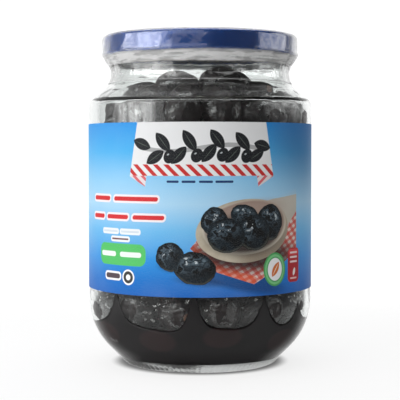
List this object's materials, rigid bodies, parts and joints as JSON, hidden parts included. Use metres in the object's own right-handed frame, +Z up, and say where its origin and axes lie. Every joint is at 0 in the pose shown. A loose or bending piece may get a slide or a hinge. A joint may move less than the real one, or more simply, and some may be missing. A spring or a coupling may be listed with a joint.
{
  "type": "jar of olives",
  "caption": "Clear glass jar with a twist-off cap under a shrink seal and a paper label, filled with black olives over dark brine.",
  "frame": {"origin": "middle of the foot, on the surface that the jar stands on", "axes": "+Z up along the jar's axis, -Y towards the front of the label"},
  "size_m": [0.0978, 0.0978, 0.1426],
  "materials": {
    "glass": "clear moulded glass",
    "cap_paint": "glossy blue enamel on tinplate",
    "shrink_film": "clear glossy shrink film",
    "label_paper": "coated printed paper",
    "olive_skin": "wet glossy black olive skin",
    "brine": "dark oily brine"
  },
  "bodies": {
    "root": {"jar": "glass", "lid": "cap_paint", "seal": "shrink_film", "label": "label_paper", "olives": "olive_skin", "brine": "brine"}
  },
  "joints": []
}
